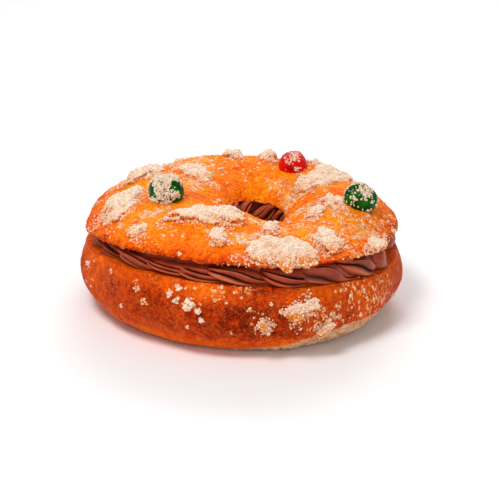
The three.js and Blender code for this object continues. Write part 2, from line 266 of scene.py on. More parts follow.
def close_up(piece):
    """Merges doubles and turns all faces outwards."""
    edit(piece)
    bpy.ops.mesh.remove_doubles(threshold=0.01 * MM)
    bpy.ops.mesh.normals_make_consistent(inside=False)
    leave_edit()


def faces_in_order(piece):
    """The faces as corners in one fixed order, because spin and extrude leave them in any order."""
    faces = []
    for face in piece.data.polygons:
        corners = tuple(face.vertices)
        first = corners.index(min(corners))
        faces.append(corners[first:] + corners[:first])
    return sorted(faces)


def put_in_order(piece):
    """Gives the faces their fixed order, so that every run draws the same places on them."""
    points, faces = vertices_of(piece), faces_in_order(piece)
    piece.data.clear_geometry()
    piece.data.from_pydata(points, [], faces)
    piece.data.update()


def turned_ring(name, outline, steps, cuts=0):
    """A closed outline of [radius, height] points spun about the ring's axis, then shaped by hand.

    Gives the piece, and the radius and height that its vertices have on the true ring.
    """
    piece = start(bpy.ops.mesh.primitive_circle_add, name, vertices=len(outline), radius=10 * MM,
                  location=(CREST_RADIUS, 0, BASE_HEIGHT), rotation=(math.pi / 2, 0, 0))
    move_vertices(piece, np.stack([outline[:, 0], 0 * outline[:, 0], outline[:, 1]], 1))
    edit(piece)
    bpy.ops.mesh.spin(steps=steps, angle=2 * math.pi, center=(0, 0, 0), axis=(0, 0, 1),
                      use_auto_merge=False)
    leave_edit()
    put_in_order(piece)
    close_up(piece)
    if cuts:
        cut_round(piece, cuts)
    true = vertices_of(piece)
    move_vertices(piece, hand_shaped(true))
    return piece, np.hypot(true[:, 0], true[:, 1]), true[:, 2]


def cut_round(piece, cuts):
    """Subdivides only the edges that run round the ring."""
    points = vertices_of(piece)
    angle = np.arctan2(points[:, 1], points[:, 0])
    ends = np.zeros(len(piece.data.edges) * 2, int)
    piece.data.edges.foreach_get("vertices", ends)
    ends = ends.reshape(-1, 2)
    turned = np.abs(np.sin(angle[ends[:, 0]] - angle[ends[:, 1]])) > 1e-3
    edit(piece)
    bpy.ops.mesh.select_mode(type="EDGE")
    bpy.ops.mesh.select_all(action="DESELECT")
    leave_edit()
    piece.data.edges.foreach_set("select", turned)
    bpy.ops.object.mode_set(mode="EDIT")
    bpy.ops.mesh.subdivide(number_cuts=cuts)
    bpy.ops.mesh.select_mode(type="VERT")
    leave_edit()


def mark(piece, name, values):
    """Stores one number per vertex for the materials."""
    attribute = piece.data.attributes.new(name, "FLOAT", "POINT")
    attribute.data.foreach_set("value", np.ascontiguousarray(values, dtype=np.float32))


def marked(piece, name):
    values = np.zeros(len(piece.data.vertices))
    piece.data.attributes[name].data.foreach_get("value", values)
    return values


def dress(piece, material, slot, *nodes, sharp=35):
    piece.data.materials.clear()
    piece.data.materials.append(material)
    bpy.ops.object.select_all(action="DESELECT")
    piece.select_set(True)
    bpy.context.view_layer.objects.active = piece
    bpy.ops.object.shade_smooth_by_angle(angle=math.radians(sharp))
    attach(piece, "root")
    if nodes:
        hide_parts(*nodes)
    return piece


# ---- Copies and what is strewn ----


def seeded(seed):
    """The same numbers from 0 to 1 as the crumbs and heaps of the solids are drawn by."""
    state = seed
    while True:
        state = (state * 1664525 + 1013904223) % 4294967296
        yield state / 4294967296


def linked(name, data):
    """A new object in the scene for a mesh, a light or the camera."""
    piece = bpy.data.objects.new(name, data)
    bpy.context.scene.collection.objects.link(piece)
    return piece


def copies(name, models, places, turns, sizes, choice, syrup_and_shade):
    """One mesh of many copies: copy i is models[choice[i]], turned, sized and put at its place."""
    points, loops, totals, shown = [], [], [], []
    vertex_count = 0
    for kind, model in enumerate(models):
        own = np.flatnonzero(choice == kind)
        shape = vertices_of(model)
        corners = np.zeros(len(model.data.loops), int)
        model.data.loops.foreach_get("vertex_index", corners)
        sides = np.zeros(len(model.data.polygons), int)
        model.data.polygons.foreach_get("loop_total", sides)
        grown = sizes[own][:, None, :] * shape[None]
        placed = np.einsum("nij,nvj->nvi", turns[own], grown) + places[own][:, None, :]
        points.append(placed.reshape(-1, 3))
        loops.append((corners[None] + (vertex_count + np.arange(len(own)) * len(shape))[:, None]).ravel())
        totals.append(np.tile(sides, len(own)))
        shown.append(np.repeat(syrup_and_shade[own], len(shape)))
        vertex_count += len(own) * len(shape)
    points, loops, totals = np.concatenate(points), np.concatenate(loops), np.concatenate(totals)
    starts = np.concatenate([[0], np.cumsum(totals)[:-1]])
    mesh = bpy.data.meshes.new(name)
    mesh.vertices.add(len(points))
    mesh.loops.add(len(loops))
    mesh.polygons.add(len(totals))
    mesh.vertices.foreach_set("co", points.astype(np.float32).ravel())
    mesh.loops.foreach_set("vertex_index", loops.astype(np.int32))
    mesh.polygons.foreach_set("loop_start", starts.astype(np.int32))
    mesh.update(calc_edges=True)
    piece = linked(name, mesh)
    mark(piece, "syrup_and_shade", np.concatenate(shown))
    return piece


def any_turns(draw, count):
    """Turns in all directions alike."""
    q = draw.normal(size=(count, 4))
    w, x, y, z = (q / np.linalg.norm(q, axis=1, keepdims=True)).T
    return np.stack([
        np.stack([1 - 2 * (y * y + z * z), 2 * (x * y - z * w), 2 * (x * z + y * w)], 1),
        np.stack([2 * (x * y + z * w), 1 - 2 * (x * x + z * z), 2 * (y * z - x * w)], 1),
        np.stack([2 * (x * z - y * w), 2 * (y * z + x * w), 1 - 2 * (x * x + y * y)], 1),
    ], 1)


def lying_turns(normals, heading):
    """Turns that lay a model's X along the heading and its Z along the surface's normal."""
    side = np.cross(normals, heading)
    side /= np.linalg.norm(side, axis=1, keepdims=True)
    return np.stack([np.cross(side, normals), side, normals], 2)


def places_on(piece, count, share, draw):
    """Places and normals drawn over a piece's faces, more of them where share is higher."""
    mesh = piece.data
    mesh.calc_loop_triangles()
    corners = np.zeros(len(mesh.loop_triangles) * 3, int)
    mesh.loop_triangles.foreach_get("vertices", corners)
    a, b, c = vertices_of(piece)[corners].reshape(-1, 3, 3).transpose(1, 0, 2)
    across = np.cross(b - a, c - a)
    area = np.linalg.norm(across, axis=1)
    normals = across / np.maximum(area, 1e-12)[:, None]
    weight = area * share((a + b + c) / 3, normals)
    chosen = draw.choice(len(weight), size=count, p=weight / weight.sum())
    u, v = draw.random((2, count, 1))
    over = u + v > 1
    u, v = np.where(over, 1 - u, u), np.where(over, 1 - v, v)
    places = a[chosen] + u * (b - a)[chosen] + v * (c - a)[chosen]
    return places, normals[chosen]


ANGULAR = 0.32  # how far a crystal's corners stray, as a share of its radius
UNEVEN = (0.75, 1.25)  # the least and most that each of its three sizes varies by
SMALL_COMMON = 1.6  # above 1, small crystals are commoner than large ones
WET_GROWTH = 0.35  # soaked crystals cling together and are coarser
WET_AND_SHADED_TONE = 0.7  # the most that they are darker


def crystal(name, seed):
    """A lump of a few sugar crystals, about 1 in radius."""
    piece = start(bpy.ops.mesh.primitive_ico_sphere_add, name, subdivisions=1, radius=1)
    edit(piece)
    bpy.ops.transform.vertex_random(offset=ANGULAR, uniform=0.0, normal=0.0, seed=seed)
    leave_edit()
    return piece


def clumpy(places, size, low=-0.05, high=0.3):
    """From 0 in bare spots to 1 in clumps about size across."""
    return smooth(np.array([noise.noise(Vector(place) / size) for place in places]), low, high)


def strewn(name, ground, count, share, draw, least, most, sink=0.3, syrup_and_shade=(0, 0.25), soak_and_shade=None, flat=1):
    """Sugar crystals lying on a piece, coarser and darker where syrup has seeped into them and where shade
    is painted on them.

    Sink is how deep they lie, bare is the range of their own syrup tones, and flat is their thickness.
    """
    places, normals = places_on(ground, count, share, draw)
    wet_and_shaded = soak_and_shade(places, normals) if soak_and_shade else np.zeros(count)
    sizes = least + (most - least) * draw.random(count) ** SMALL_COMMON
    sizes *= 1 + WET_GROWTH * wet_and_shaded
    sizes = sizes[:, None] * draw.uniform(*UNEVEN, (count, 3))
    places = places + normals * sizes.mean(1, keepdims=True) * (1 - 2 * sink)
    choice = draw.integers(0, len(CRYSTALS), count)
    soaked_and_shaded = np.minimum(1, draw.uniform(*syrup_and_shade, count) + wet_and_shaded * draw.uniform(0, WET_AND_SHADED_TONE, count))
    turns = lying_turns(normals, draw.normal(size=(count, 3))) if flat < 1 else any_turns(draw, count)
    return copies(name, CRYSTALS, places, turns, sizes * np.array([1, 1, flat]), choice, soaked_and_shaded)


def join(name, *parts):
    bpy.ops.object.select_all(action="DESELECT")
    for part in parts:
        part.select_set(True)
    bpy.context.view_layer.objects.active = parts[0]
    bpy.ops.object.join()
    parts[0].name = parts[0].data.name = name
    return parts[0]


# ---- Materials ----


class Recipe:
    """A small helper that adds and links a material's nodes."""

    def __init__(self, name):
        self.material = bpy.data.materials.new(name)
        self.material.use_nodes = True
        self.tree = self.material.node_tree
        self.shader = self.tree.nodes["Principled BSDF"]
        self.place = self.tree.nodes.new("ShaderNodeTexCoord").outputs["Object"]

    def add(self, kind, inputs=(), **settings):
        node = self.tree.nodes.new("ShaderNode" + kind)
        for key, value in settings.items():
            setattr(node, key, value)
        for key, value in dict(inputs).items():
            self.fill(node.inputs[key], value)
        return node

    def fill(self, socket, value):
        if isinstance(value, bpy.types.NodeSocket):
            self.tree.links.new(value, socket)
        else:
            socket.default_value = value

    def noise(self, size, detail=3, rough=0.55):
        """A cloud pattern whose patches are about size metres across."""
        inputs = {"Vector": self.place, "Scale": 1 / size, "Detail": detail, "Roughness": rough}
        return self.add("TexNoise", inputs).outputs["Fac"]

    def cells(self, size):
        """A pattern of cells about size metres across: 0 in their middles, more at their borders."""
        return self.add("TexVoronoi", {"Vector": self.place, "Scale": 1 / size}).outputs["Distance"]

    def value(self, name):
        return self.add("Attribute", attribute_name=name).outputs["Fac"]

    def span(self, value, low, high, to_low=0.0, to_high=1.0):
        node = self.add("MapRange", {"Value": value, "From Min": low, "From Max": high,
                                     "To Min": to_low, "To Max": to_high}, interpolation_type="SMOOTHSTEP")
        return node.outputs["Result"]

    def swing(self, cloud, amount):
        """Turns a cloud pattern into a number that swings as far below 0 as above it."""
        return self.span(cloud, 0.3, 0.7, -amount, amount)

    def chain(self, operation, first, *others):
        for other in others:
            first = self.add("Math", {0: first, 1: other}, operation=operation).outputs["Value"]
        return first

    def sum(self, *terms):
        return self.chain("ADD", *terms)

    def times(self, *factors):
        return self.chain("MULTIPLY", *factors)

    def mix(self, share, a, b):
        node = self.add("Mix", {0: share}, data_type="RGBA")
        self.fill(node.inputs[6], a)
        self.fill(node.inputs[7], b)
        return node.outputs[2]

    def ramp(self, tone, *stops):
        """Colours in order, each reached at its own tone."""
        (at, shade), *rest = stops
        for after, other in rest:
            shade = self.mix(self.span(tone, at, after), shade, other)
            at = after
        return shade

    def link(self, socket, output):
        self.tree.links.new(output, self.shader.inputs[socket])

    def bump(self, *heights):
        """Stacks bumps of [height, depth in metres]."""
        normal = None
        for height, depth in heights:
            inputs = {"Height": height, "Distance": depth}
            if normal:
                inputs["Normal"] = normal
            normal = self.add("Bump", inputs).outputs["Normal"]
        self.link("Normal", normal)

    def set(self, **sockets):
        for name, value in sockets.items():
            self.shader.inputs[name.replace("_", " ")].default_value = value
        return self

    def soft(self, weight, depth, tint):
        """Lets light scatter to a depth below the surface, and gives the finished material."""
        self.set(Subsurface_Weight=weight, Subsurface_Scale=depth, Subsurface_Radius=tint)
        return self.material


def color(red, green, blue):
    """A colour from its familiar 0 to 255 values."""
    def linear(level):
        level /= 255
        return level / 12.92 if level <= 0.04045 else ((level + 0.055) / 1.055) ** 2.4
    return (linear(red), linear(green), linear(blue), 1.0)


BAKED = (0.0, 0.28, 0.55, 0.8, 1.05)  # the tones at which crust is buttery, golden, orange, brown, dark
MELTED_SUGAR = color(255, 170, 70)
FROSTED_SUGAR = color(254, 182, 96)


def crust(name, colors, crumb, crumb_shade, fleck, flecked, specked, grainy):
    """Baked crust: from buttery to dark by its tone, which is how far it browned plus any painted shadow,
    mottled, and grainy with melted sugar.
    """
    r = Recipe(name)
    patches = r.noise(26 * MM, 3, 0.55)
    mottle = r.noise(5 * MM, 4, 0.65)
    grain = r.noise(2.4 * MM, 4, 0.75)
    frost = r.value("frost")
    # the tone holds how far the crust baked, and on the base a painted shadow under the cream
    tone = r.sum(r.value("baked"), r.swing(patches, 0.14), r.swing(mottle, 0.17 * grainy),
                 r.swing(grain, 0.2 * grainy))
    base = r.ramp(tone, *zip(BAKED, colors))

    # pale flecks, in patches and where sugar lies
    flecks = r.sum(r.noise(1.5 * MM, 3, 0.7), r.times(frost, 0.06),
                   r.span(r.noise(12 * MM, 2), 0.35, 0.65, -0.05, 0.03))
    base = r.mix(r.span(flecks, 0.5, 0.64, 0, flecked), base, fleck)

    # specks of melted sugar, also in patches
    specks = r.times(r.span(r.cells(1.9 * MM), 0.36, 0.1), r.span(r.noise(10 * MM, 2), 0.45, 0.65), specked)
    base = r.mix(specks, base, MELTED_SUGAR)

    # a frosting round the loose sugar
    frosting = r.sum(r.times(frost, 0.19), r.noise(2.6 * MM, 4, 0.8))
    base = r.mix(r.span(frosting, 0.64, 0.8), base, FROSTED_SUGAR)

    # crumb where the crust is torn off
    ragged = r.sum(r.value("under"), r.swing(mottle, 0.3))
    base = r.mix(r.span(ragged, 0.4, 0.6), base, r.mix(r.span(grain, 0.35, 0.65), crumb, crumb_shade))
    r.link("Base Color", base)
    r.link("Roughness", r.span(mottle, 0.25, 0.75, 0.4, 0.62))
    r.bump((mottle, 1.2 * MM * grainy), (grain, 1.1 * MM * grainy), (r.cells(1.1 * MM), 0.4 * MM * grainy))
    r.set(Specular_IOR_Level=0.04)
    return r.soft(0.04, 1.5 * MM, (1.0, 0.3, 0.05))


def chocolate(name):
    """Whipped chocolate: a painted highlight along the crest of each fold and painted shade in the furrows
    between them.
    """
    r = Recipe(name)
    base = r.ramp(r.noise(9 * MM, 3), (0.35, color(138, 44, 18)), (0.65, color(166, 66, 36)))
    # a painted highlight along the crest of each fold
    base = r.mix(r.value("lip"), base, color(204, 104, 64))
    # painted shade in the furrows between the folds
    base = r.mix(r.span(r.value("groove"), 0.22, 0.8), base, color(46, 6, 1))
    r.link("Base Color", base)
    r.link("Roughness", r.span(r.noise(2 * MM, 2), 0.3, 0.7, 0.34, 0.46))
    r.set(Specular_IOR_Level=0.22)
    r.bump((r.noise(4 * MM, 2), 0.3 * MM), (r.noise(0.6 * MM, 2), 0.05 * MM))
    return r.soft(0.06, 1 * MM, (1.0, 0.4, 0.2))


def candied(name, deep, bright):
    """The glossy skin of a candied cherry."""
    r = Recipe(name)
    r.link("Base Color", r.ramp(r.noise(6 * MM, 3), (0.35, deep), (0.65, bright)))
    r.bump((r.noise(2.5 * MM, 2), 0.3 * MM))
    r.set(Roughness=0.16, Specular_IOR_Level=0.12, Coat_Weight=0.06, Coat_Roughness=0.04)
    return r.soft(0.08, 2 * MM, (1.0, 0.6, 0.3))


def sugar(name, shade, light, syrup_dark, syrup_light):
    """Moist sugar: pale, and warmer where crust and syrup show between its crystals; the same syrup tone
    paints shade low on heaps and on their steep sides.
    """
    r = Recipe(name)
    white = r.ramp(r.noise(3 * MM, 4, 0.7), (0.35, shade), (0.65, light))
    syrup = r.ramp(r.noise(1.5 * MM, 2), (0.4, syrup_dark), (0.6, syrup_light))
    base = r.mix(r.value("syrup_and_shade"), white, syrup)
    r.link("Base Color", base)
    r.link("Roughness", r.span(r.noise(1 * MM, 2), 0.3, 0.7, 0.45, 0.7))
    r.bump((r.noise(0.6 * MM, 2), 0.12 * MM))
    r.set(Specular_IOR_Level=0.12)
    return r.soft(0.3, 1.2 * MM, (1.0, 0.75, 0.55))


FINISH = {
    "lid": crust(
        "lid_crust",
        [color(255, 158, 20), color(252, 124, 2), color(246, 96, 0), color(224, 68, 0), color(168, 40, 0)],
        crumb=color(240, 178, 112), crumb_shade=color(214, 130, 66),
        fleck=color(255, 166, 56), flecked=0.42, specked=0.5, grainy=1.05,
    ),
    "base": crust(
        "base_crust",
        [color(250, 118, 8), color(232, 90, 2), color(204, 66, 2), color(168, 42, 0), color(114, 22, 0)],
        crumb=color(242, 196, 158), crumb_shade=color(196, 128, 84),
        fleck=color(226, 124, 58), flecked=0.3, specked=0.35, grainy=0.95,
    ),
    "cream": chocolate("chocolate_cream"),
    "green": candied("candied_green", deep=color(0, 56, 0), bright=color(2, 104, 4)),
    "red": candied("candied_red", deep=color(180, 0, 0), bright=color(228, 8, 2)),
    "sugar": sugar(
        "moist_sugar", shade=color(240, 207, 179), light=color(253, 236, 216),
        syrup_dark=color(208, 104, 30), syrup_light=color(250, 160, 70),
    ),
    "candied_sugar": sugar(
        "candied_sugar", shade=color(228, 198, 168), light=color(250, 230, 208),
        syrup_dark=color(190, 142, 92), syrup_light=color(234, 190, 146),
    ),
}

# ---- Where loose sugar lies on the crust, where it baked more or less, and a painted shadow under the cream ----

LID_DRIFTS = [  # azimuth, station, spread in mm, amount
    (151, 0.31, 8, 1), (147, 0.38, 9, 1), (141, 0.46, 10, 1), (140, 0.56, 10, 1), (136, 0.64, 9, 1),
    (175, 0.7, 6, 1), (165, 0.66, 7, 0.8), (157, 0.72, 6, 1), (-77, 0.56, 4, 2.2), (-83, 0.58, 4, 1.5),
    (39, 0.88, 4, 2.2), (23, 0.93, 5, 1.6), (-30, 0.88, 6, 1.2), (67, 0.79, 4, 1.6), (59, 0.84, 4, 1.6),
    (-35, 0.36, 7, 0.9), (-28, 0.33, 7, 0.8), (-28, 0.47, 12, 0.25), (-16, 0.3, 9, 0.3),
    (-24, 0.22, 7, 0.6), (-44, 0.4, 7, 0.4), (-79, 0.43, 6, 1), (-60, 0.55, 6, 1), (-56, 0.52, 6, 0.7),
    (-73, 0.52, 6, 1.5), (-15.5, 0.79, 6, 1.6), (121, 0.55, 9, 1.4), (-141, 0.44, 5, 0.6),
    (-132, 0.42, 5, 0.5), (182, 0.25, 6, 1.4), (-46, 0.15, 5, 1.2), (68, 0.8, 4, 3), (41, 0.84, 4, 1.5),
    (-93, 0.42, 4, 2.5), (-89.5, 0.41, 4, 3.5), (-86, 0.43, 4, 3.5), (-82.5, 0.45, 4, 3),
    (-91, 0.59, 3.5, 1.6), (-86.5, 0.58, 3.5, 1.6), (-82, 0.56, 3.5, 1.6), (-53, 0.32, 8, 0.4),
    (155, 0.17, 7, 0.9), (152, 0.21, 8, 0.9), (158, 0.26, 7, 0.9), (168, 0.22, 7, 0.6),
    (-149, 0.17, 5, 0.25), (-130, 0.34, 8, 0.1), (-123, 0.4, 9, 0.15), (116, 0.69, 10, 0.2),
    (99, 0.72, 12, 0.15), (83, 0.64, 8, 0.25), (48, 0.68, 7, 0.5), (20, 0.3, 12, 0.4),
    (70, 0.3, 13, 0.4), (125, 0.4, 12, 0.5), (100, 0.4, 12, 0.4), (-10, 0.75, 10, 0.3),
    (-4, 0.25, 6, 0.5), (8, 0.2, 6, 0.5), (-141, 0.4, 3.5, 2), (-139.5, 0.44, 3.5, 3),
    (-137.5, 0.475, 3.5, 3), (-137, 0.51, 3, 2), (-146, 0.26, 2.5, 2),
]
BASE_DRIFTS = [  # and so in the tables below
    (-91, 0.95, 2.5, 1.2), (-87.5, 0.94, 2.5, 1.4), (-95.5, 0.84, 2.5, 1), (-86, 0.71, 3, 0.6),
    (-81, 0.58, 3.5, 0.5), (-93, 0.47, 1.5, 1.2), (-80, 0.67, 2.5, 0.3), (-86, 0.58, 2.5, 0.5),
    (-56.5, 0.59, 4, 1), (-50, 0.8, 9, 0.1), (-42, 0.8, 8, 0.12), (-35, 0.72, 9, 0.12),
    (-56, 0.75, 8, 0.08), (-28, 0.75, 8, 0.1), (-126.5, 0.83, 2.5, 1), (-124, 0.67, 1.6, 1.2),
    (-68, 0.6, 7, 0.2), (-98, 0.88, 5, 0.18), (-106, 0.78, 6, 0.35), (15, 0.7, 12, 0.12),
    (60, 0.75, 12, 0.15), (100, 0.68, 10, 0.4), (150, 0.75, 10, 0.15), (-160, 0.7, 8, 0.08),
]

LID_STREAKS = [(-22, 0.3, 12, 1), (-30, 0.42, 10, 1), (-12, 0.2, 8, 1)]
BASE_STREAKS = [(-45, 0.78, 11, 1), (-30, 0.75, 9, 1), (-66, 0.66, 9, 1), (-34, 0.5, 9, 1)]

LID_BAKING = [
    (177, 0.475, 9, -0.22), (-92.5, 0.41, 9, -0.2), (-37.5, 0.5, 9, -0.2), (-60, 0.5, 8, -0.2),
    (-164, 0.41, 9, -0.2), (-137, 0.45, 8, -0.24), (-135, 0.58, 8, -0.2), (-46, 0.67, 8, -0.22),
    (-62, 0.46, 7, -0.2), (135, 0.62, 11, -0.22), (85, 0.72, 11, -0.16), (111, 0.92, 10, 0.14),
    (-100.5, 0.19, 11, 0.16), (-14, 0.3, 14, 0.18), (60, 0.35, 14, -0.18), (118, 0.45, 13, -0.18),
    (-4, 0.25, 8, -0.25), (88, 0.3, 12, 0.14), (15, 0.62, 12, -0.14), (95, 0.97, 10, -0.2),
    (-112, 0.28, 12, 0.1),
]
BASE_BAKING_AND_SHADOW = [
    # The two spots at the very top, at -85 and -78, paint the cream's shadow on the base.
    (-102, 0.93, 8, -0.22), (-85, 0.98, 7, 0.55), (-78, 0.97, 7, 0.55), (-122, 0.87, 9, 0.14),
    (-63, 0.82, 8, -0.12), (-81, 0.66, 8, -0.14), (-127, 0.4, 13, -0.2), (-27, 0.93, 13, -0.24),
    (-149, 0.86, 11, -0.16), (-94, 0.42, 10, -0.1), (-155, 0.75, 14, -0.08), (-42, 0.6, 16, -0.18),
    (-75, 0.24, 14, -0.12), (-100, 0.3, 14, -0.1), (20, 0.85, 14, -0.16), (95, 0.85, 14, -0.18),
    (160, 0.9, 14, -0.14), (130, 0.55, 16, 0.14), (50, 0.5, 16, 0.14),
]


def spots(at, crust_line, table):
    """The sum of a table's soft spots at each place."""
    middles = np.concatenate([on_crust(crust_line, azimuth, station) for azimuth, station, _, _ in table])
    return sum(
        amount * bell(np.linalg.norm(at - middle, axis=1) / (spread * MM))
        for middle, (_, _, spread, amount) in zip(middles, table)
    )


# ---- The bread ----

SPIN_STEPS = 120
SPIN_CUTS = 3
TORN = 1.6 * MM  # how far up from its cut the lid's crust is torn
PALE_FOOT = [(-42, 36, 17 * MM), (110, 50, 10 * MM)]  # azimuth, spread, height: less baked near the table
FOOT_EDGE = 1.5 * MM
LID_TONES = {"all": 0.32, "hole": 0.07, "side": 0.24, "rim": 0.42}  # how far it baked, and what places add
BASE_TONES = {"all": 0.4, "foot": -0.18, "belly": 0.22, "front": 0.28}


def bread_lid():
    crust_points = LID_CRUST.at(np.linspace(0, 1, 140))
    cut = np.linspace(crust_points[-1], crust_points[0], 20)[1:-1]
    outline = np.concatenate([crust_points, cut])
    piece, true_radius, true_z = turned_ring("lid", outline, SPIN_STEPS, SPIN_CUTS)
    roughen(piece, "lid swells", 16 * MM, 1.8 * MM)
    roughen(piece, "lid crags", 5 * MM, 1.3 * MM, depth=2)
    roughen(piece, "lid grain", 2 * MM, 0.7 * MM)
    rims = (true_radius > 88 * MM) | (true_radius < 24 * MM)
    roughen(piece, "lid torn rims", 2.2 * MM, 3.4 * MM, where=rims * bell((true_z - LID_CUT) / TORN))
    points = vertices_of(piece)
    radius = np.hypot(points[:, 0], points[:, 1])
    hole = smooth(radius, 54 * MM, 26 * MM)
    side = smooth(radius, 82 * MM, 94 * MM) * near(azimuth_of(points), 10, 60)
    rim = smooth(true_z, LID_CUT + 11 * MM, LID_CUT + 1 * MM) * (true_radius > 80 * MM)
    baked = LID_TONES["all"] + LID_TONES["hole"] * hole + LID_TONES["side"] * side + LID_TONES["rim"] * rim
    mark(piece, "baked", baked + spots(points, LID_CRUST, LID_BAKING))
    mark(piece, "under", np.zeros(len(points)))
    mark(piece, "frost", np.minimum(1, spots(points, LID_CRUST, LID_DRIFTS)))
    return dress(piece, FINISH["lid"], "crust_lid", "bread_lid")


def bread_base():
    outer = BASE_CRUST.at(np.linspace(0, 1, 90))
    hole = BASE_HOLE.at(np.linspace(0, 1, 44))
    cut = np.linspace(outer[-1], hole[0], 18)[1:-1]
    underside = np.linspace(hole[-1], outer[0], 12)[1:-1]
    outline = np.concatenate([outer, cut, hole, underside])
    piece, _, true_z = turned_ring("base", outline, SPIN_STEPS, SPIN_CUTS)
    roughen(piece, "base swells", 20 * MM, 1.4 * MM)
    roughen(piece, "base crags", 5 * MM, 0.8 * MM, depth=2)
    roughen(piece, "base grain", 2 * MM, 0.35 * MM)
    azimuth = azimuth_of(vertices_of(piece))
    band = sum(height * near(azimuth, middle, spread) for middle, spread, height in PALE_FOOT)
    crumbly = smooth(true_z, band + FOOT_EDGE, band - FOOT_EDGE)
    roughen(piece, "base crumbly foot", 2.6 * MM, 3.4 * MM, depth=2, where=crumbly)
    points = vertices_of(piece)
    points[:, 2] = np.maximum(points[:, 2], 0)
    move_vertices(piece, points)
    z = points[:, 2]
    foot = smooth(z, 16 * MM, 4 * MM)
    belly = smooth(z, 42 * MM, 32 * MM) * smooth(z, 5 * MM, 20 * MM)
    browned = belly * (BASE_TONES["belly"] + BASE_TONES["front"] * near(azimuth, -97, 28))
    baked = BASE_TONES["all"] + BASE_TONES["foot"] * foot + browned
    # the spots include a painted shadow along the cream's lower edge
    mark(piece, "baked", baked + spots(points, BASE_CRUST, BASE_BAKING_AND_SHADOW))
    mark(piece, "under", crumbly)
    mark(piece, "frost", np.minimum(1, spots(points, BASE_CRUST, BASE_DRIFTS)))
    return dress(piece, FINISH["base"], "crust_base", "bread_base")


# ---- The chocolate cream ----

OUTER_ROPE = {"count": 22, "radius": 88.6 * MM, "out": 1, "seed": 5}
# Its last value paints light over the inner rope, which lies in the hole's shade.
INNER_ROPE = {"count": 12, "radius": 24.0 * MM, "out": -1, "seed": 4, "pale": 0.45}
OUTER_STROKE = {"length": 41 * MM, "fat": 6.9 * MM, "fall": 4.5 * MM, "bulge": 4 * MM}
INNER_STROKE = {"length": 18 * MM, "fat": 4.8 * MM, "fall": 9 * MM, "bulge": 2.5 * MM}
OUTER_KINDS = [  # folds, phase, twist in degrees, sway
    (6, 0.1, 40, 2 * MM),
    (6, 0.95, 34, -0.8 * MM),
    (4, 0.8, 46, 1.4 * MM),
    (6, 0.6, 26, 2.4 * MM),
]
INNER_KINDS = [(4, 0.2, 45, 0.6 * MM), (4, 0.7, 62, -0.6 * MM)]
SOFT_KIND = (4, 0.3, 20, 1.6 * MM)
STROKE_STEPS = 32
STROKE_POINTS = 72
STROKE_END = 0.14  # how fat a stroke's two ends are, as a share of its middle
FOLD_DEPTH = 0.56
SOFT_DEPTH = 0.16  # of the strokes that the lid pressed smooth
PRESSED = (-8, 34)  # azimuth and spread of these
LIP_AT = 0.16  # the lip's place in a fold, from 0 at the groove above it to 1 at the groove below
# The painted highlight along each fold's crest: how wide it is, and how strongly it is painted.
LIP_HIGHLIGHT_WIDTH = 0.08
LIP_HIGHLIGHT = 0.8
STRAY_TURN = 0.3  # how far strokes stray from their even places, as a share of the pitch
STRAY_UP = 1.4 * MM
STRAY_OUT = 1.2 * MM
STRETCHES = (0.85, 1.25)
FATNESSES = (0.9, 1.15)
SQUEEZE = 1.25  # how hard the two cuts press the strokes flat
SQUEEZE_END = 1.6  # pressed by this much, a stroke reaches the cut
RECESSES = [  # azimuth, spread, amount: where the rope is set back, or squeezed out if it is less than 0
    (-174, 34, 4.6 * MM),
    (8, 22, 4 * MM),
    (-128, 24, 1.8 * MM),
    (-34, 26, -1.6 * MM),
]
LID_GAP = (-122, 34, 4 * MM)  # azimuth, spread, depth: the rope lies lower here, and a dark gap shows


def stroke_model(name, kind, depth, length, fat, fall, bulge):
    """One piped stroke along X, fat along Y: a ribbed head that fans out and a tail that tapers off."""
    folds, phase, twist, sway = kind
    piece = start(bpy.ops.mesh.primitive_circle_add, name, vertices=STROKE_POINTS, radius=1,
                  fill_type="NGON", rotation=(0, math.pi / 2, 0))
    points = vertices_of(piece)
    angle = np.arctan2(points[:, 2], points[:, 1])
    uneven = angle + 0.3 * np.sin(2 * angle + 6 * phase)
    down = np.mod(-uneven * folds / (2 * math.pi) + phase, 1)
    ridge = np.minimum(down / LIP_AT, ((1 - down) / (1 - LIP_AT)) ** 0.5)
    points[:, 1:] *= (1 - depth * (1 - ridge))[:, None]
    move_vertices(piece, points)
    # painted shade in the furrows between the folds, for the cream's material
    mark(piece, "groove", (1 - ridge) * depth / FOLD_DEPTH)
    # a painted highlight along the crest of each fold, for the cream's material
    mark(piece, "lip", LIP_HIGHLIGHT * bell((down - LIP_AT) / LIP_HIGHLIGHT_WIDTH) * depth / FOLD_DEPTH)

    def fullness(t):
        return math.sin(math.pi * t**0.6) ** 0.8

    def size(t):
        return fat * (STROKE_END + (1 - STROKE_END) * fullness(t))

    def place(t):
        """It falls along its length, and its tail turns up a little."""
        sunk = 1.05 * float(smooth(t, -0.1, 0.85)) - 0.2 * float(smooth(t, 0.8, 1))
        z = fall * (0.42 - sunk) + sway * math.sin(2 * math.pi * t)
        return Vector((t * length, bulge * (fullness(t) - 0.5), z))

    edit(piece)
    bpy.ops.transform.resize(value=(1, size(0), size(0)))
    bpy.ops.transform.translate(value=place(0))
    for step in range(1, STROKE_STEPS + 1):
        t, before = step / STROKE_STEPS, (step - 1) / STROKE_STEPS
        bpy.ops.mesh.extrude_region_move(TRANSFORM_OT_translate={"value": place(t) - place(before)})
        grow = size(t) / size(before)
        bpy.ops.transform.resize(value=(1, grow, grow), center_override=place(t))
        bpy.ops.transform.rotate(value=math.radians(twist / STROKE_STEPS), orient_axis="X",
                                 center_override=place(t))
    leave_edit()
    close_up(piece)
    return piece


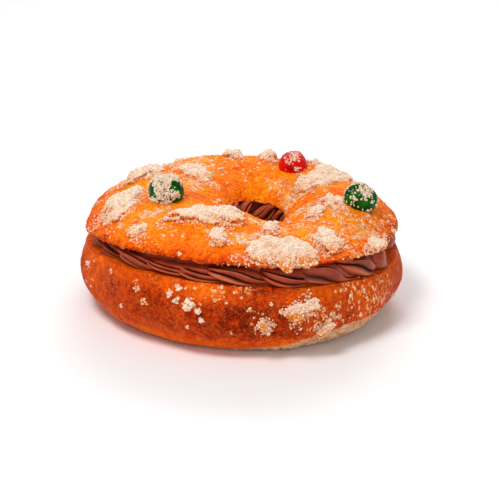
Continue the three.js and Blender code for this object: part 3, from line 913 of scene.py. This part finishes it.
def piped_rope(name, models, soft_model, count, radius, out, seed, pale=0):
    """Strokes laid round the ring, each a little different, squeezed between the two cuts."""
    draw = np.random.default_rng(seed)
    per_degree = math.radians(radius)
    pitch = 360 / count
    half = CREAM_HEIGHT / 2
    points, faces = [], []
    shading = {"groove": [], "lip": []}
    offset = 0
    for i in range(count):
        start_at = (i + draw.uniform(-STRAY_TURN, STRAY_TURN)) * pitch
        pressed = near(start_at + pitch / 2, *PRESSED) > 0.5
        model = soft_model if pressed else models[draw.integers(0, len(models))]
        local = vertices_of(model)
        stretch, fat = draw.uniform(*STRETCHES), draw.uniform(*FATNESSES)
        azimuth = start_at + local[:, 0] * stretch / per_degree
        z = local[:, 2] * fat + draw.uniform(-STRAY_UP, STRAY_UP)
        z = half * np.tanh(z / half * SQUEEZE) / math.tanh(SQUEEZE_END)
        r = radius + out * (local[:, 1] * fat + draw.uniform(-STRAY_OUT, STRAY_OUT))
        if out > 0:
            r -= sum(depth * near(azimuth, middle, spread) for middle, spread, depth in RECESSES)
            z -= LID_GAP[2] * near(azimuth, LID_GAP[0], LID_GAP[1]) * smooth(z, -half, half)
        z = np.clip(z, -half, half) + BASE_HEIGHT + half
        angle = np.radians(azimuth)
        points.append(hand_shaped(np.stack([r * np.cos(angle), r * np.sin(angle), z], 1)))
        faces += [tuple(corner + offset for corner in face) for face in faces_in_order(model)]
        shading["groove"].append(marked(model, "groove"))
        # painted light: the inner rope's value raises the painted highlight all over it
        shading["lip"].append(pale + (1 - pale) * marked(model, "lip"))
        offset += len(local)
    mesh = bpy.data.meshes.new(name)
    mesh.from_pydata(np.concatenate(points), [], faces)
    piece = linked(name, mesh)
    for key, values in shading.items():
        mark(piece, key, np.concatenate(values))
    return piece


def cream_slab():
    """The cream between the ropes, rounded towards them, which fills the gap from cut to cut."""
    half = np.linspace(0, math.pi, 9)
    drop = CREAM_HEIGHT / 2 * (1 - np.cos(half))
    rim = np.stack([85 * MM + 3 * MM * np.sin(half), LID_CUT - drop], 1)
    throat = np.stack([28 * MM - 2 * MM * np.sin(half), BASE_HEIGHT + drop], 1)
    return turned_ring("slab", np.concatenate([rim, throat]), SPIN_STEPS, 1)[0]


def chocolate_cream():
    outer_models = [stroke_model("stroke", kind, FOLD_DEPTH, **OUTER_STROKE) for kind in OUTER_KINDS]
    soft_model = stroke_model("soft stroke", SOFT_KIND, SOFT_DEPTH, **OUTER_STROKE)
    inner_models = [stroke_model("short stroke", kind, FOLD_DEPTH, **INNER_STROKE) for kind in INNER_KINDS]
    outer = piped_rope("outer rope", outer_models, soft_model, **OUTER_ROPE)
    inner = piped_rope("inner rope", inner_models, inner_models[0], **INNER_ROPE)
    for model in outer_models + inner_models + [soft_model]:
        bpy.data.objects.remove(model)
    cream = join("cream", outer, inner, cream_slab())
    close_up(cream)
    return dress(cream, FINISH["cream"], "cream", "chocolate_cream", sharp=50)


# ---- The candied cherries ----

CHERRY_RADIUS = 10.5 * MM
CHERRY_SIDES = (0.98, 0.93, 0.98)
CREASE_WIDTH = 0.3
CHERRIES = {  # size is a share of the radius, and tall, seat and crease are shares of the size
    "cherry_green_left": dict(at=(-150, 0.55), turn=25, size=1.04, tall=1, seat=0.38, crease=0.12),
    "cherry_green_right": dict(at=(-12, 0.475), turn=-60, size=1.03, tall=0.88, seat=0.36, crease=0.22),
    "cherry_red": dict(at=(61, 0.6), turn=80, size=0.97, tall=0.8, seat=0.12, crease=0.06),
}
# How many crystals stick to each, and where: azimuth, elevation, spread as a share of the radius, and
# amount. An amount below 0 leaves the fruit bare.
CHERRY_SUGAR = {
    "cherry_green_left": (1300, [
        (0, 90, 0.62, 2.2), (-92, 23, 0.45, 1.2), (-113, -19, 0.45, 1.4), (-45, -2, 0.16, 0.9),
        (-120, 28, 0.3, 1.3), (-78, -8, 0.3, 1), (90, 20, 0.5, 0.8), (165, 5, 0.35, 0.8),
        (-143, 14, 0.24, -2.5), (-47, 38, 0.2, -2.5), (-26, 12, 0.18, -1.5), (-66, 17, 0.1, -2),
        (-54, -24, 0.18, -2), (-45, 4, 0.12, 1.5),
    ]),
    "cherry_green_right": (430, [
        (-68, 66, 0.38, 1), (-74, 31, 0.2, 1.2), (-43, 52, 0.24, 0.9), (-124, 16, 0.13, 1.2),
        (-55, 2, 0.1, 1.2), (-127, -2, 0.1, 1), (-70, -26, 0.12, 1), (-94, 20, 0.08, 1),
        (100, 50, 0.4, 0.8), (150, 20, 0.2, 0.8),
    ]),
    "cherry_red": (130, [
        (-74, 56, 0.26, 1), (-109, 25, 0.15, 1), (-74, -5, 0.14, 0.9), (-35, -13, 0.1, 1),
        (-138, 26, 0.16, 0.4), (80, 40, 0.3, 0.8),
    ]),
}
CHERRY_DUSTED = 0.008  # the amount that sticks anywhere
CHERRY_BARE = 0.002  # the least amount, where the fruit is bare


def cherry(name, at, turn, size, tall, seat, crease):
    """A candied cherry with the crease where its stone came out, and the sugar that sticks to it."""
    piece = start(bpy.ops.mesh.primitive_ico_sphere_add, name + "_fruit", subdivisions=5, radius=1)
    points = vertices_of(piece)
    dent = 1 - crease * bell(points[:, 0] / CREASE_WIDTH) * smooth(points[:, 2], -0.2, 0.8)
    points *= (CHERRY_RADIUS * size * dent)[:, None] * (np.array(CHERRY_SIDES) * [1, 1, tall])
    foot, head = on_crust(LID_CRUST, at[0], [at[1], at[1]], [0, 1 * MM])
    up = Vector(head - foot).normalized()
    placed = Matrix.Translation(Vector(foot) + up * CHERRY_RADIUS * size * seat)
    placed = placed @ Vector((0, 0, 1)).rotation_difference(up).to_matrix().to_4x4()
    placed = placed @ Matrix.Rotation(math.radians(turn), 4, "Z")
    move_vertices(piece, points)
    piece.data.transform(placed)
    roughen(piece, name + " wrinkles", 6 * MM, 0.8 * MM)
    kind = "green" if "green" in name else "red"
    dress(piece, FINISH[kind], "cherry_" + kind, name)

    draw = np.random.default_rng(len(name))
    count, spots_sugared = CHERRY_SUGAR[name]

    def share(places, normals):
        out = (places - np.array(placed.translation)) / (CHERRY_RADIUS * size)
        total = CHERRY_DUSTED
        for azimuth, elevation, spread, amount in spots_sugared:
            towards = Euler((0, -math.radians(elevation), math.radians(azimuth))).to_matrix().col[0]
            total += amount * bell(np.linalg.norm(out - np.array(towards), axis=1) / spread)
        return np.maximum(total, CHERRY_BARE) * (0.4 + clumpy(places, 3 * MM))

    grains = strewn(name + "_sugar", piece, count, share, draw, least=0.4 * MM, most=0.85 * MM,
                    syrup_and_shade=(0, 0.35))
    return dress(grains, FINISH["candied_sugar"], "sugar")


# ---- The sugar ----

# A heap's path of (azimuth, station), its width and height in mm, how much it grows along the path, and
# how much syrup soaked in, which also sets how much shade is painted on it.
LID_HEAPS = {
    "sugar_front": ([(-88, 0.38), (-80, 0.31), (-72, 0.25), (-64, 0.19)], 28, 11, 0.35, 1.2),
    "sugar_ridge": (
        [(-131, 0.44), (-124, 0.495), (-115, 0.525), (-104, 0.54), (-92, 0.545)], 11, 5.5, 0.35, 1,
    ),
    "sugar_left": ([(180, 0.34), (190, 0.35), (199, 0.31), (206, 0.24)], 21, 6, -0.35, 0.7),
    "sugar_right": ([(-54, 0.49), (-52, 0.38), (-51, 0.26)], 13, 4.5, 0, 1),
    "sugar_slope": ([(-25, 0.64), (-17, 0.57)], 15, 5, 0, 0.8),
    "sugar_slope_low": ([(-39, 0.7), (-36, 0.6)], 12, 4, 0, 1),
    "sugar_far_right": ([(40, 0.83), (33, 0.68), (37, 0.4)], 11, 4, 0.3, 0.8),
    "sugar_back_left": ([(163, 0.38), (153, 0.4), (148, 0.5)], 17, 4, 0, 0.7),
    "sugar_back_slope": ([(150, 0.62), (143, 0.66), (136, 0.72)], 17, 3, 0, 0.9),
    "sugar_crest_left": ([(103, 0.5), (95, 0.51)], 12, 3.5, 0, 0.9),
    "sugar_crest_middle": ([(84, 0.47), (75, 0.48)], 12, 4.5, 0, 0.9),
    "sugar_crest_right": ([(58, 0.42), (49, 0.44)], 8, 4, 0, 1.1),
    "sugar_hole_front": ([(-82, 0.55), (-74, 0.57)], 8, 3.5, 0, 1),
    "sugar_small_front": ([(-103, 0.45), (-98, 0.32)], 8, 4, 0, 1.2),
    "sugar_small_left": ([(-136, 0.21), (-132, 0.32)], 11, 3.5, 0, 1.5),
    "sugar_small_right": ([(-33, 0.26), (-30, 0.1)], 16, 4, 0, 1.2),
    "sugar_back_outer": ([(122, 0.22), (110, 0.16), (98, 0.2)], 15, 4, 0, 0.8),
}
BASE_HEAPS = {
    "sugar_base_front": ([(-75, 0.62), (-70, 0.72), (-64, 0.84)], 10, 4, 0, 0.8),
    "sugar_base_low": ([(-63, 0.42), (-58, 0.54)], 7, 3.5, 0, 1),
    "sugar_base_middle": ([(-84, 0.58), (-79, 0.5)], 6, 3, 0, 1.8),
    "sugar_base_back": ([(100, 0.6), (107, 0.75)], 10, 4, 0, 1),
}
HEAP_DEPTH = 2.5 * MM  # how deep a heap goes into the crust
HEAP_WAVES = 5
WAVE_SIZE = 0.07
WAISTED = 0.5  # how much fuller a heap is towards its two ends
CORE_LENGTH, CORE_WIDTH, CORE_HEIGHT = 0.9, 0.92, 0.86  # shares of the heap's own
LOOSE_PER_MM2 = 1.15
SOAK_AND_SHADE_LOW, SOAK_AND_SHADE_STEEP = 0.75, 0.5  # syrup shows, and shade is painted, in a heap's foot and on its steep sides
SPILT_PER_MM = 16  # loose crystals beside a heap, for each millimetre of its width
SPILT_FROM, SPILT_REACH = 0.42, 0.16  # where they start and thin out, in widths from its middle line


def beside(route, crust_line, along, aside, step):
    """Azimuth and station of places so many metres to the side of a route over the crust."""
    per_degree = math.radians(crust_line.at(route.points[0, 1])[0, 0])
    per_station = crust_line.length
    middle, ahead = route.at(along), route.heading(along, step)
    u, v = ahead[:, 0] * per_degree, ahead[:, 1] * per_station
    aside = aside / np.hypot(u, v)
    return middle[:, 0] - v * aside / per_degree, middle[:, 1] + u * aside / per_station


def heap_core(name, crust_line, route, width, height, taper, seed):
    """A ball laid along the route and roughened. Gives it, and how high each vertex was on the ball."""
    numbers = seeded(seed)
    waves = []
    for _ in range(HEAP_WAVES):
        axis = np.array([next(numbers) - 0.5, next(numbers) - 0.5, next(numbers) - 0.5])
        waves.append((axis / np.linalg.norm(axis), 4 + 6 * next(numbers), 6 * next(numbers)))
    piece = start(bpy.ops.mesh.primitive_ico_sphere_add, name + "_core", subdivisions=5, radius=1)
    ball = vertices_of(piece)
    x, y, z = ball.T
    lumpy = 1 + sum(WAVE_SIZE * np.sin(count * ball @ axis + first) for axis, count, first in waves)
    full = lumpy * np.sqrt(1 + WAISTED * x**2) * (1 + taper * x)
    along = np.clip((1 + x * lumpy * CORE_LENGTH) / 2, 0, 1)
    aside = y * full * width * MM / 2 * CORE_WIDTH
    lift = np.where(z > 0, z * full * height * MM * CORE_HEIGHT, z * HEAP_DEPTH)
    azimuth, station = beside(route, crust_line, along, aside, 1e-3)
    move_vertices(piece, on_crust(crust_line, azimuth, station, lift))
    roughen(piece, name + " lumps", 6 * MM, 3.2 * MM)
    roughen(piece, name + " ragged foot", 3 * MM, 4.5 * MM, where=bell((z - 0.1) / 0.35))
    roughen(piece, name + " grit", 1.7 * MM, 0.9 * MM)
    return piece, z


def spilt(name, crust_line, route, width, draw):
    """Loose crystals on both sides of a heap, fewer the further out."""
    count = int(SPILT_PER_MM * width)
    side = draw.choice([-1, 1], count) * (SPILT_FROM + draw.exponential(SPILT_REACH, count))
    along = draw.uniform(-0.1, 1.1, count)
    sizes = draw.uniform(0.3, 0.85, (count, 1)) * draw.uniform(*UNEVEN, (count, 3)) * MM
    turns = any_turns(draw, count)
    choice = draw.integers(0, len(CRYSTALS), count)
    syrup_and_shade = draw.uniform(0.2, 0.8, count)
    kept = np.abs(along - 0.5) < 0.51  # none past the ends of the route
    azimuth, station = beside(route, crust_line, along[kept], side[kept] * width * MM, 0.01)
    places = on_crust(crust_line, azimuth, station, 0.3 * MM)
    return copies(name, CRYSTALS, places, turns[kept], sizes[kept], choice[kept], syrup_and_shade[kept])


def heap(name, crust_line, path, width, height, taper, soaked_and_shaded, seed):
    """A lumpy heap along its path over the crust, its crystals standing out of a packed core."""
    route = Section(path)
    core, rise = heap_core(name, crust_line, route, width, height, taper, seed)
    foot, crown = np.quantile(vertices_of(core)[rise > 0][:, 2], [0.05, 0.98])

    # Syrup soak and painted shade: darker low on the heap and on its steep sides.
    def soak_and_shade(places, normals):
        low = smooth((places[:, 2] - foot) / (crown - foot), 0.8, 0.1)
        steep = smooth(normals[:, 2], 0.7, 0.1)
        return np.clip(soaked_and_shaded * (SOAK_AND_SHADE_LOW * low + SOAK_AND_SHADE_STEEP * steep), 0, 1)

    def share(places, normals):
        return smooth(normals[:, 2], -0.6, 0.0) * (1 - 0.65 * soak_and_shade(places, normals))

    # The core's syrup tone, with painted shade low on it and on its steep sides.
    mark(core, "syrup_and_shade", np.minimum(1, 0.1 + 1.2 * soak_and_shade(vertices_of(core), vertices_of(core, "normal"))))
    draw = np.random.default_rng(seed)
    area = sum(face.area for face in core.data.polygons if rise[face.vertices[0]] > 0.1)
    count = int(area / MM**2 * LOOSE_PER_MM2)
    grains = strewn(name + "_grains", core, count, share, draw, least=0.32 * MM, most=0.75 * MM,
                    sink=0.4, syrup_and_shade=(0, 0.15), soak_and_shade=soak_and_shade)
    loose = spilt(name + "_spilt", crust_line, route, width, draw)
    whole = join(name + "_heap", core, grains, loose)
    return dress(whole, FINISH["sugar"], "sugar", name)


CRUMBS = {  # of the crumbs that a draw scatters: their count, first and last station, and seed
    "lid": (22, (0.08, 0.88), 5),
    "base": (16, (0.4, 0.93), 8),
}
CRUMB_LEAST, CRUMB_MOST = 1.2 * MM, 1.9 * MM
CRUMB_LUMPS = 5
CRUMB_GRAINS = 5  # for each lump
LUMP_LIFT, LUMP_SPREAD, LUMP_SIZES = 0.15, 0.6, (0.28, 0.58)  # as shares of the crumb's radius
CRUMB_TRAIL = [  # azimuth, station, radius
    (-111, 0.89, 2.6 * MM),
    (-114, 0.81, 2.4 * MM),
    (-111.5, 0.75, 2.4 * MM),
    (-107, 0.72, 3.4 * MM),
    (-103.5, 0.65, 3.2 * MM),
    (-102.5, 0.57, 2.2 * MM),
]


def crumb_places(trail, count, stations, seed):
    """The crumbs in the solids' own order: azimuth, station and radius of each."""
    numbers = seeded(seed)
    places = list(trail)
    for i in range(count):
        azimuth = 360 * (i + next(numbers)) / count
        station = stations[0] + (stations[1] - stations[0]) * next(numbers)
        radius = CRUMB_LEAST + (CRUMB_MOST - CRUMB_LEAST) * next(numbers)
        places.append((azimuth, station, radius))
    return places


def anywhere(places, normals):
    return np.ones(len(places))


def crumbs(name, crust_line, trail, count, stations, seed):
    """Clusters of sugar lumps stuck to the crust, rough with crystals."""
    places = crumb_places(trail, count, stations, seed)
    seats = [on_crust(crust_line, azimuth, station, LUMP_LIFT * size) for azimuth, station, size in places]
    radii = np.repeat([radius for _, _, radius in places], CRUMB_LUMPS)
    total = len(radii)
    draw = np.random.default_rng(seed)
    lump = start(bpy.ops.mesh.primitive_ico_sphere_add, "lump", subdivisions=3, radius=1)
    roughen(lump, name + " lump", 0.7, 0.7)
    aside = draw.normal(size=(total, 3))
    aside *= (radii * LUMP_SPREAD / np.linalg.norm(aside, axis=1))[:, None]
    middles = np.repeat(np.concatenate(seats), CRUMB_LUMPS, 0) + aside
    sizes = radii[:, None] * draw.uniform(*LUMP_SIZES, (total, 1)) * draw.uniform(*UNEVEN, (total, 3))
    turns = any_turns(draw, total)
    syrup_and_shade = draw.uniform(0, 0.6, total)
    lumps = copies(name + "_lumps", [lump], middles, turns, sizes, np.zeros(total, int), syrup_and_shade)
    bpy.data.objects.remove(lump)
    grains = strewn(name + "_grains", lumps, CRUMB_GRAINS * total, anywhere, draw, least=0.3 * MM,
                    most=0.65 * MM, syrup_and_shade=(0, 0.4))
    return dress(join(name, lumps, grains), FINISH["sugar"], "sugar")


def drifts(name, ground, crust_line, table, count, seed):
    """Loose crystals over the crust, thicker in some places than others."""
    def share(places, normals):
        thick = spots(places, crust_line, table) * smooth(normals[:, 2], -0.7, -0.2)
        return thick * (0.015 + clumpy(places, 3.5 * MM, 0.02, 0.35))

    def melted(places, normals):
        return 1 - np.minimum(1, 0.5 * spots(places, crust_line, table))

    grains = strewn(name, ground, count, share, np.random.default_rng(seed), least=0.35 * MM,
                    most=0.85 * MM, sink=0.45, syrup_and_shade=(0.1, 0.65), soak_and_shade=melted, flat=0.4)
    return dress(grains, FINISH["sugar"], "sugar")


STREAK_SIDES = (1.6, 0.6, 0.25)  # long, narrow and thin
STREAK_STRAY = 0.35  # from straight downhill


def streaks(name, ground, crust_line, table, count, seed):
    """Short pale runs of melted sugar that follow the slope of the crust."""
    def share(places, normals):
        return spots(places, crust_line, table)

    draw = np.random.default_rng(seed)
    places, normals = places_on(ground, count, share, draw)
    downhill = np.array([0, 0, -1]) + STREAK_STRAY * draw.normal(size=(count, 3))
    sizes = draw.uniform(0.6, 1.3, (count, 1)) * np.array(STREAK_SIDES) * MM
    choice = draw.integers(0, len(CRYSTALS), count)
    syrup_and_shade = draw.uniform(0.55, 1.0, count)
    grains = copies(name, CRYSTALS, places, lying_turns(normals, downhill), sizes, choice, syrup_and_shade)
    return dress(grains, FINISH["sugar"], "sugar")


base = bread_base()
lid = bread_lid()
chocolate_cream()

CRYSTALS = [crystal("crystal", seed) for seed in (1, 2, 3)]
for name, place in CHERRIES.items():
    cherry(name, **place)
for index, (name, place) in enumerate(LID_HEAPS.items()):
    heap(name, LID_CRUST, *place, seed=index + 1)
for index, (name, place) in enumerate(BASE_HEAPS.items()):
    heap(name, BASE_CRUST, *place, seed=index + 31)
crumbs("lid_crumbs", LID_CRUST, [], *CRUMBS["lid"])
crumbs("base_crumbs", BASE_CRUST, CRUMB_TRAIL, *CRUMBS["base"])
drifts("lid_drifts", lid, LID_CRUST, LID_DRIFTS, count=3200, seed=11)
drifts("base_drifts", base, BASE_CRUST, BASE_DRIFTS, count=480, seed=12)
streaks("lid_streaks", lid, LID_CRUST, LID_STREAKS, count=160, seed=13)
streaks("base_streaks", base, BASE_CRUST, BASE_STREAKS, count=130, seed=14)
for piece in CRYSTALS:
    bpy.data.objects.remove(piece)

# ---- The floor, lights and camera ----


FLOOR_SIZE = 6
DAYLIGHT = 0.4
RING_MIDDLE = (0, 0, 0.04)
LIGHTS = [  # name, place, aim, size, power
    ("key", (-0.35, -0.45, 1.0), RING_MIDDLE, 0.35, 7.6),
    ("fill", (0.35, -1.1, 0.42), RING_MIDDLE, 0.8, 3.3),
    ("back", (0.2, 0.9, 0.8), RING_MIDDLE, 0.7, 4.5),
    ("wash", (0, 1.9, 1.3), (0, 1.9, 0), 1.5, 14.0),
]
CAMERA_AIM = (0, 0, 0.036)
CAMERA_DISTANCE = 0.85
CAMERA_ELEVATION = 20.4
CAMERA_ROLL = 1.6
CAMERA_LENS = 96.9
CAMERA_SHIFT = (0.017, -0.0112)


def studio():
    floor = start(bpy.ops.mesh.primitive_plane_add, "floor", size=FLOOR_SIZE)
    r = Recipe("pale floor").set(Base_Color=(0.9, 0.9, 0.9, 1), Roughness=0.7)
    floor.data.materials.append(r.material)

    world = bpy.data.worlds.new("studio")
    world.use_nodes = True
    sky = world.node_tree.nodes["Background"]
    sky.inputs["Color"].default_value = (1, 1, 1, 1)
    sky.inputs["Strength"].default_value = DAYLIGHT
    bpy.context.scene.world = world
    bpy.context.scene.view_settings.view_transform = "Standard"

    for name, place, aim, size, power in LIGHTS:
        data = bpy.data.lights.new(name, "AREA")
        data.size = size
        data.energy = power
        light = linked(name, data)
        light.location = place
        light.rotation_euler = (Vector(aim) - Vector(place)).to_track_quat("-Z", "Y").to_euler()


def camera():
    elevation = math.radians(CAMERA_ELEVATION)
    data = bpy.data.cameras.new("camera")
    data.sensor_width = 36
    data.lens = CAMERA_LENS
    data.shift_x, data.shift_y = CAMERA_SHIFT
    view = linked("camera", data)
    back = CAMERA_DISTANCE * Vector((0, -math.cos(elevation), math.sin(elevation)))
    view.location = Vector(CAMERA_AIM) + back
    level = Euler((math.pi / 2 - elevation, 0, 0)).to_matrix()
    roll = Matrix.Rotation(math.radians(CAMERA_ROLL), 3, "Z")
    view.rotation_euler = (level @ roll).to_euler()
    bpy.context.scene.camera = view


studio()
camera()
